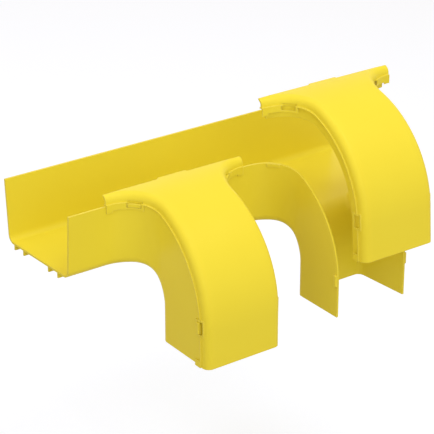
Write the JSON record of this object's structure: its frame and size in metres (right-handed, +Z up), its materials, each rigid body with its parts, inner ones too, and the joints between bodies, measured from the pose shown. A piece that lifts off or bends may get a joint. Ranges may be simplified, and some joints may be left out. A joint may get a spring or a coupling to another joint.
{
  "type": "raceway downspout fitting",
  "caption": "Cable raceway trough section with flared downspouts bending down from its front wall to open outlets, and clip-on curved spout covers, shown seated and lifted off.",
  "frame": {"origin": "middle of the trough floor's underside, midway between the spouts", "axes": "+X along the trough, +Y towards the wall without spouts, +Z up out of the trough"},
  "size_m": [0.606, 0.3557, 0.3079],
  "materials": {
    "moulded_plastic": "yellow moulded plastic with a satin sheen"
  },
  "bodies": {
    "root": {"trough_body": "moulded_plastic", "cover_left": "moulded_plastic", "cover_right": "moulded_plastic"}
  },
  "joints": []
}
